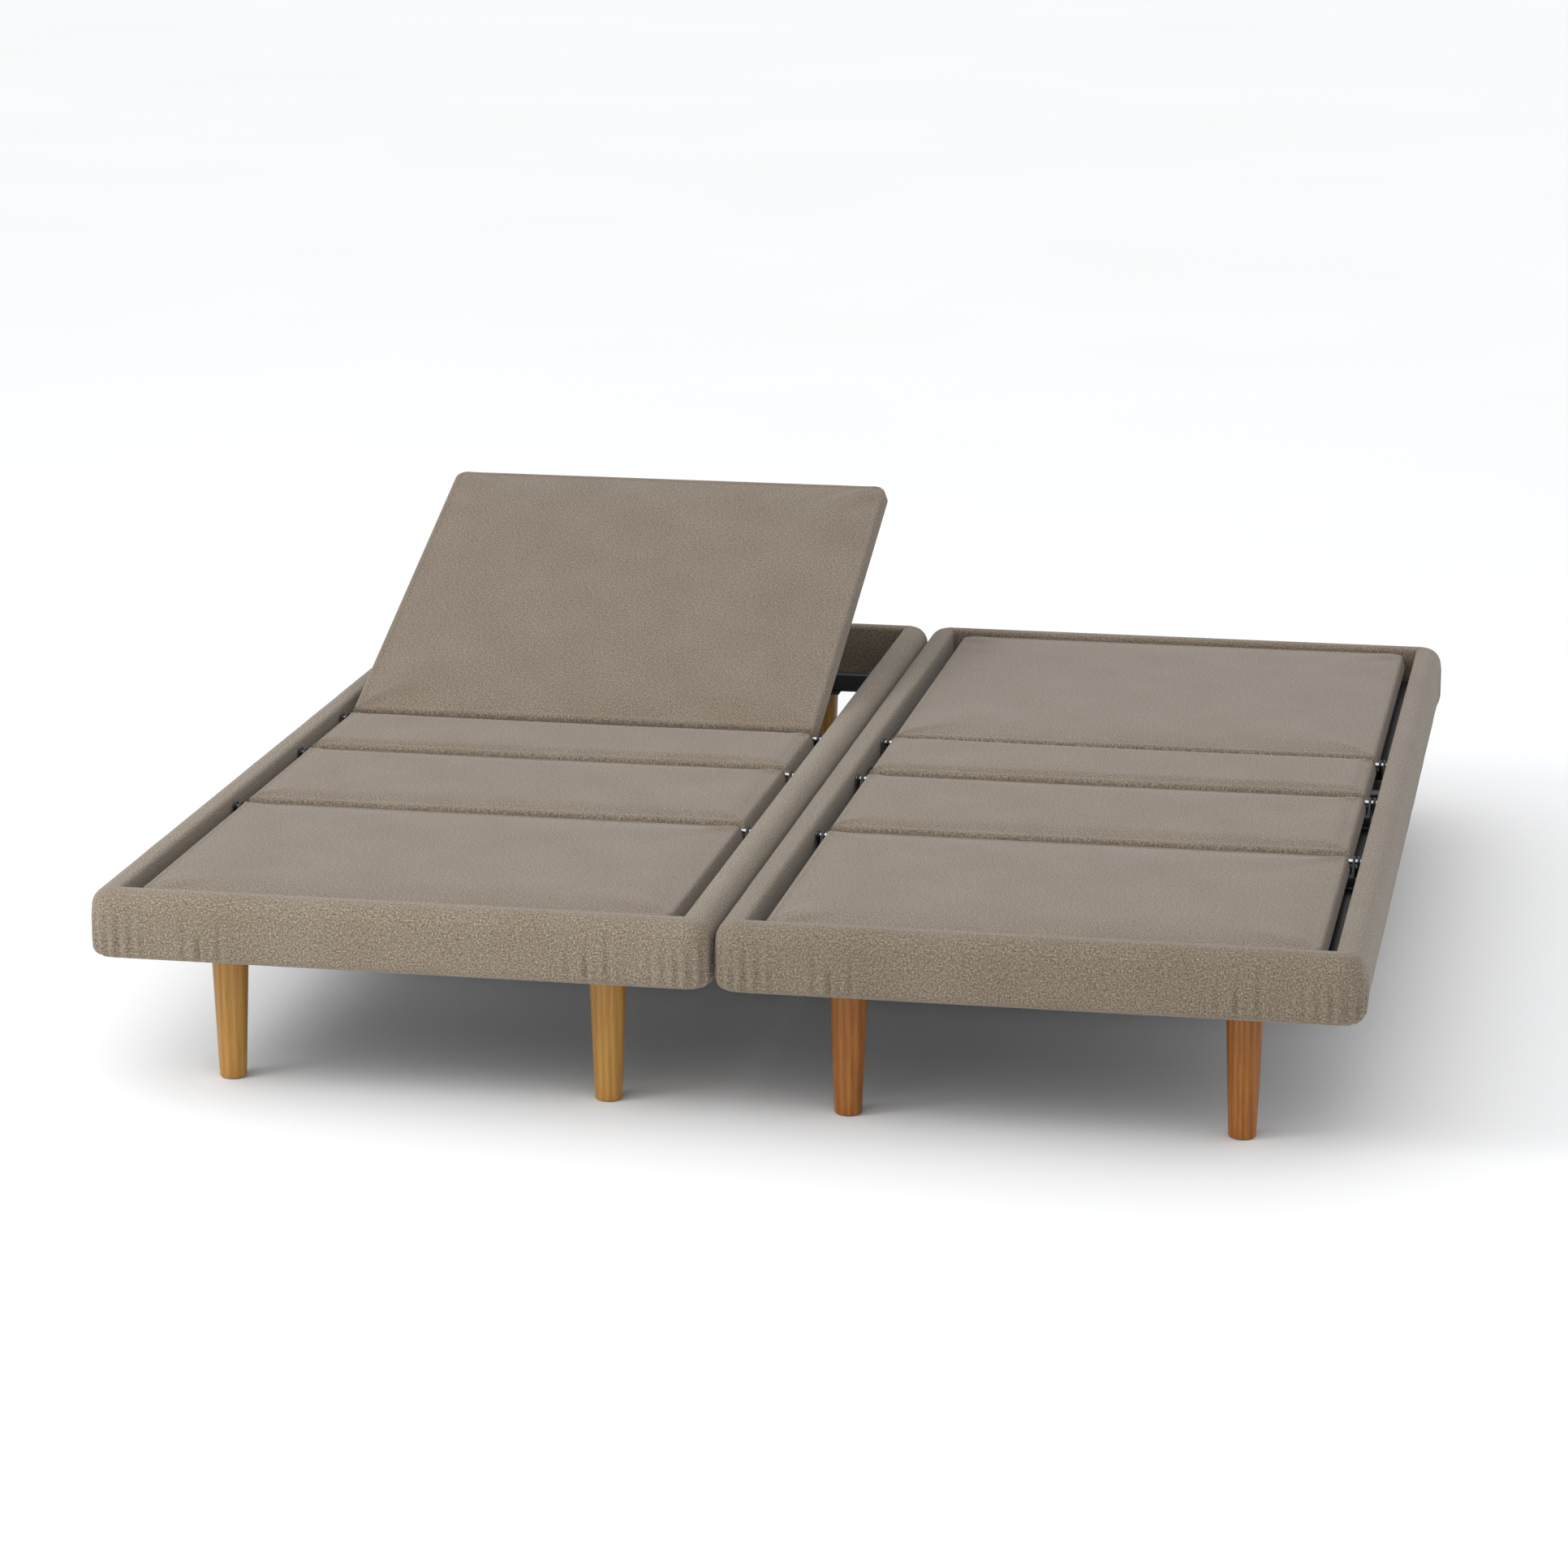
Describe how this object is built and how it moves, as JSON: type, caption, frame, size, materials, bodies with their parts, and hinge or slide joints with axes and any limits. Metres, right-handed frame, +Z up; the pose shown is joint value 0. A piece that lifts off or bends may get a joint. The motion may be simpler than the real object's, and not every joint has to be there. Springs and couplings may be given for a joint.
{
  "type": "adjustable bed base",
  "caption": "Split adjustable bed base: two upholstered single units on tapered timber legs, each with lifting head and leg sections.",
  "frame": {"origin": "on the floor under the middle of the two units together", "axes": "+Z up, the foot end towards -Y, the head end towards +Y, the left unit towards -X seen from the foot end"},
  "size_m": [1.845, 2.03, 0.5857],
  "materials": {
    "upholstery": "woven melange cloth, matt",
    "deck_cloth": "woven melange cloth, matt",
    "timber": "clear satin lacquer",
    "black_steel": "fine textured powder coat",
    "bright_steel": "zinc plated, satin",
    "black_plastic": "fine moulded texture",
    "nylon": "moulded, satin"
  },
  "bodies": {
    "base": {"left_foot_rail": "upholstery", "left_head_rail": "upholstery", "left_outer_side_rail": "upholstery", "left_inner_side_rail": "upholstery", "left_chassis": "black_steel", "left_control_box": "black_plastic", "left_foot_outer_leg": "timber", "left_foot_inner_leg": "timber", "left_head_outer_leg": "timber", "left_head_inner_leg": "timber", "left_head_hinge_rod": "bright_steel", "left_seat_board": "deck_cloth", "left_thigh_hinge_rod": "bright_steel", "right_foot_rail": "upholstery", "right_head_rail": "upholstery", "right_outer_side_rail": "upholstery", "right_inner_side_rail": "upholstery", "right_chassis": "black_steel", "right_control_box": "black_plastic", "right_foot_outer_leg": "timber", "right_foot_inner_leg": "timber", "right_head_outer_leg": "timber", "right_head_inner_leg": "timber", "right_head_hinge_rod": "bright_steel", "right_seat_board": "deck_cloth", "right_thigh_hinge_rod": "bright_steel", "foot_joining_plate": "bright_steel", "head_joining_plate": "bright_steel"},
    "left_head_section": {"left_head_board": "deck_cloth", "left_head_frame": "black_steel"},
    "left_head_lift_arm": {"left_head_lift_arm": "black_steel"},
    "left_head_rollers": {"left_head_rollers": "nylon"},
    "left_head_actuator": {"left_head_actuator": "black_plastic"},
    "left_head_actuator_rod": {"left_head_actuator_rod": "bright_steel"},
    "left_thigh_section": {"left_thigh_board": "deck_cloth", "left_thigh_frame": "black_steel", "left_knee_hinge_rod": "bright_steel"},
    "left_foot_section": {"left_foot_board": "deck_cloth", "left_foot_frame": "black_steel"},
    "left_swing_link": {"left_swing_link": "black_steel"},
    "left_leg_lift_arm": {"left_leg_lift_arm": "black_steel"},
    "left_leg_rollers": {"left_leg_rollers": "nylon"},
    "left_leg_actuator": {"left_leg_actuator": "black_plastic"},
    "left_leg_actuator_rod": {"left_leg_actuator_rod": "bright_steel"},
    "right_head_section": {"right_head_board": "deck_cloth", "right_head_frame": "black_steel"},
    "right_head_lift_arm": {"right_head_lift_arm": "black_steel"},
    "right_head_rollers": {"right_head_rollers": "nylon"},
    "right_head_actuator": {"right_head_actuator": "black_plastic"},
    "right_head_actuator_rod": {"right_head_actuator_rod": "bright_steel"},
    "right_thigh_section": {"right_thigh_board": "deck_cloth", "right_thigh_frame": "black_steel", "right_knee_hinge_rod": "bright_steel"},
    "right_foot_section": {"right_foot_board": "deck_cloth", "right_foot_frame": "black_steel"},
    "right_swing_link": {"right_swing_link": "black_steel"},
    "right_leg_lift_arm": {"right_leg_lift_arm": "black_steel"},
    "right_leg_rollers": {"right_leg_rollers": "nylon"},
    "right_leg_actuator": {"right_leg_actuator": "black_plastic"},
    "right_leg_actuator_rod": {"right_leg_actuator_rod": "bright_steel"}
  },
  "joints": [
    {"name": "left_head_lift", "type": "hinge", "parent": "base", "child": "left_head_section", "pos_m": [-0.4625, 0.176, 0.292], "axis": [1, 0, 0], "range_deg": [-21, 39]},
    {"name": "left_head_arm_turn", "type": "hinge", "parent": "base", "child": "left_head_lift_arm", "pos_m": [-0.4625, 0.192, 0.24], "axis": [1, 0, 0], "range_deg": [-20.14, 37.39]},
    {"name": "left_head_roller_spin", "type": "hinge", "parent": "left_head_lift_arm", "child": "left_head_rollers", "pos_m": [-0.4625, 0.45266, 0.34225], "axis": [1, 0, 0], "continuous": true},
    {"name": "left_head_actuator_tilt", "type": "hinge", "parent": "base", "child": "left_head_actuator", "pos_m": [-0.3625, -0.31, 0.165], "axis": [1, 0, 0], "range_deg": [-0.0707, 0.1228]},
    {"name": "left_head_actuator_stroke", "type": "slide", "parent": "left_head_actuator", "child": "left_head_actuator_rod", "axis": [0, 0.9999, -0.0171], "range_m": [-0.03199, 0.05941]},
    {"name": "left_leg_lift", "type": "hinge", "parent": "base", "child": "left_thigh_section", "pos_m": [-0.4625, -0.072, 0.292], "axis": [-1, 0, 0], "range_deg": [0, 40]},
    {"name": "left_knee_bend", "type": "hinge", "parent": "left_thigh_section", "child": "left_foot_section", "pos_m": [-0.4625, -0.43, 0.292], "axis": [-1, 0, 0], "range_deg": [-54.01, 0.01]},
    {"name": "left_swing_link_turn", "type": "hinge", "parent": "base", "child": "left_swing_link", "pos_m": [-0.4625, -0.4025, 0.24], "axis": [-1, 0, 0], "range_deg": [-0.01, 53.91]},
    {"name": "left_leg_arm_turn", "type": "hinge", "parent": "base", "child": "left_leg_lift_arm", "pos_m": [-0.4625, -0.088, 0.24], "axis": [-1, 0, 0], "range_deg": [-0.01, 39.6]},
    {"name": "left_leg_roller_spin", "type": "hinge", "parent": "left_leg_lift_arm", "child": "left_leg_rollers", "pos_m": [-0.4625, -0.34792, 0.2463], "axis": [-1, 0, 0], "continuous": true},
    {"name": "left_leg_actuator_tilt", "type": "hinge", "parent": "base", "child": "left_leg_actuator", "pos_m": [-0.5625, 0.4, 0.165], "axis": [-1, 0, 0], "range_deg": [-0.01, 0.2335]},
    {"name": "left_leg_actuator_stroke", "type": "slide", "parent": "left_leg_actuator", "child": "left_leg_actuator_rod", "axis": [0, -0.9995, -0.0315], "range_m": [0, 0.06431]},
    {"name": "right_head_lift", "type": "hinge", "parent": "base", "child": "right_head_section", "pos_m": [0.4625, 0.176, 0.292], "axis": [1, 0, 0], "range_deg": [0, 60]},
    {"name": "right_head_arm_turn", "type": "hinge", "parent": "base", "child": "right_head_lift_arm", "pos_m": [0.4625, 0.192, 0.24], "axis": [1, 0, 0], "range_deg": [-0.01, 57.52]},
    {"name": "right_head_roller_spin", "type": "hinge", "parent": "right_head_lift_arm", "child": "right_head_rollers", "pos_m": [0.4625, 0.47193, 0.2463], "axis": [1, 0, 0], "continuous": true},
    {"name": "right_head_actuator_tilt", "type": "hinge", "parent": "base", "child": "right_head_actuator", "pos_m": [0.5625, -0.31, 0.165], "axis": [1, 0, 0], "range_deg": [-0.01, 0.1835]},
    {"name": "right_head_actuator_stroke", "type": "slide", "parent": "right_head_actuator", "child": "right_head_actuator_rod", "axis": [0, 0.9998, -0.0181], "range_m": [0, 0.0914]},
    {"name": "right_leg_lift", "type": "hinge", "parent": "base", "child": "right_thigh_section", "pos_m": [0.4625, -0.072, 0.292], "axis": [-1, 0, 0], "range_deg": [0, 40]},
    {"name": "right_knee_bend", "type": "hinge", "parent": "right_thigh_section", "child": "right_foot_section", "pos_m": [0.4625, -0.43, 0.292], "axis": [-1, 0, 0], "range_deg": [-54.01, 0.01]},
    {"name": "right_swing_link_turn", "type": "hinge", "parent": "base", "child": "right_swing_link", "pos_m": [0.4625, -0.4025, 0.24], "axis": [-1, 0, 0], "range_deg": [-0.01, 53.91]},
    {"name": "right_leg_arm_turn", "type": "hinge", "parent": "base", "child": "right_leg_lift_arm", "pos_m": [0.4625, -0.088, 0.24], "axis": [-1, 0, 0], "range_deg": [-0.01, 39.6]},
    {"name": "right_leg_roller_spin", "type": "hinge", "parent": "right_leg_lift_arm", "child": "right_leg_rollers", "pos_m": [0.4625, -0.34792, 0.2463], "axis": [-1, 0, 0], "continuous": true},
    {"name": "right_leg_actuator_tilt", "type": "hinge", "parent": "base", "child": "right_leg_actuator", "pos_m": [0.3625, 0.4, 0.165], "axis": [-1, 0, 0], "range_deg": [-0.01, 0.2335]},
    {"name": "right_leg_actuator_stroke", "type": "slide", "parent": "right_leg_actuator", "child": "right_leg_actuator_rod", "axis": [0, -0.9995, -0.0315], "range_m": [0, 0.06431]}
  ],
  "couplings": [
    {"joint": "left_head_arm_turn", "follows": "left_head_lift", "ratio": 0.95858},
    {"joint": "left_head_actuator_tilt", "follows": "left_head_lift", "ratio": 0.0028923},
    {"joint": "left_head_actuator_stroke", "follows": "left_head_lift", "m_per_rad": 0.087278},
    {"joint": "left_knee_bend", "follows": "left_leg_lift", "ratio": -1.35},
    {"joint": "left_swing_link_turn", "follows": "left_leg_lift", "ratio": 1.3475},
    {"joint": "left_leg_arm_turn", "follows": "left_leg_lift", "ratio": 0.98963},
    {"joint": "left_leg_actuator_tilt", "follows": "left_leg_lift", "ratio": 0.0055871},
    {"joint": "left_leg_actuator_stroke", "follows": "left_leg_lift", "m_per_rad": 0.092116},
    {"joint": "right_head_arm_turn", "follows": "right_head_lift", "ratio": 0.95858},
    {"joint": "right_head_actuator_tilt", "follows": "right_head_lift", "ratio": 0.0028923},
    {"joint": "right_head_actuator_stroke", "follows": "right_head_lift", "m_per_rad": 0.087278},
    {"joint": "right_knee_bend", "follows": "right_leg_lift", "ratio": -1.35},
    {"joint": "right_swing_link_turn", "follows": "right_leg_lift", "ratio": 1.3475},
    {"joint": "right_leg_arm_turn", "follows": "right_leg_lift", "ratio": 0.98963},
    {"joint": "right_leg_actuator_tilt", "follows": "right_leg_lift", "ratio": 0.0055871},
    {"joint": "right_leg_actuator_stroke", "follows": "right_leg_lift", "m_per_rad": 0.092116}
  ]
}
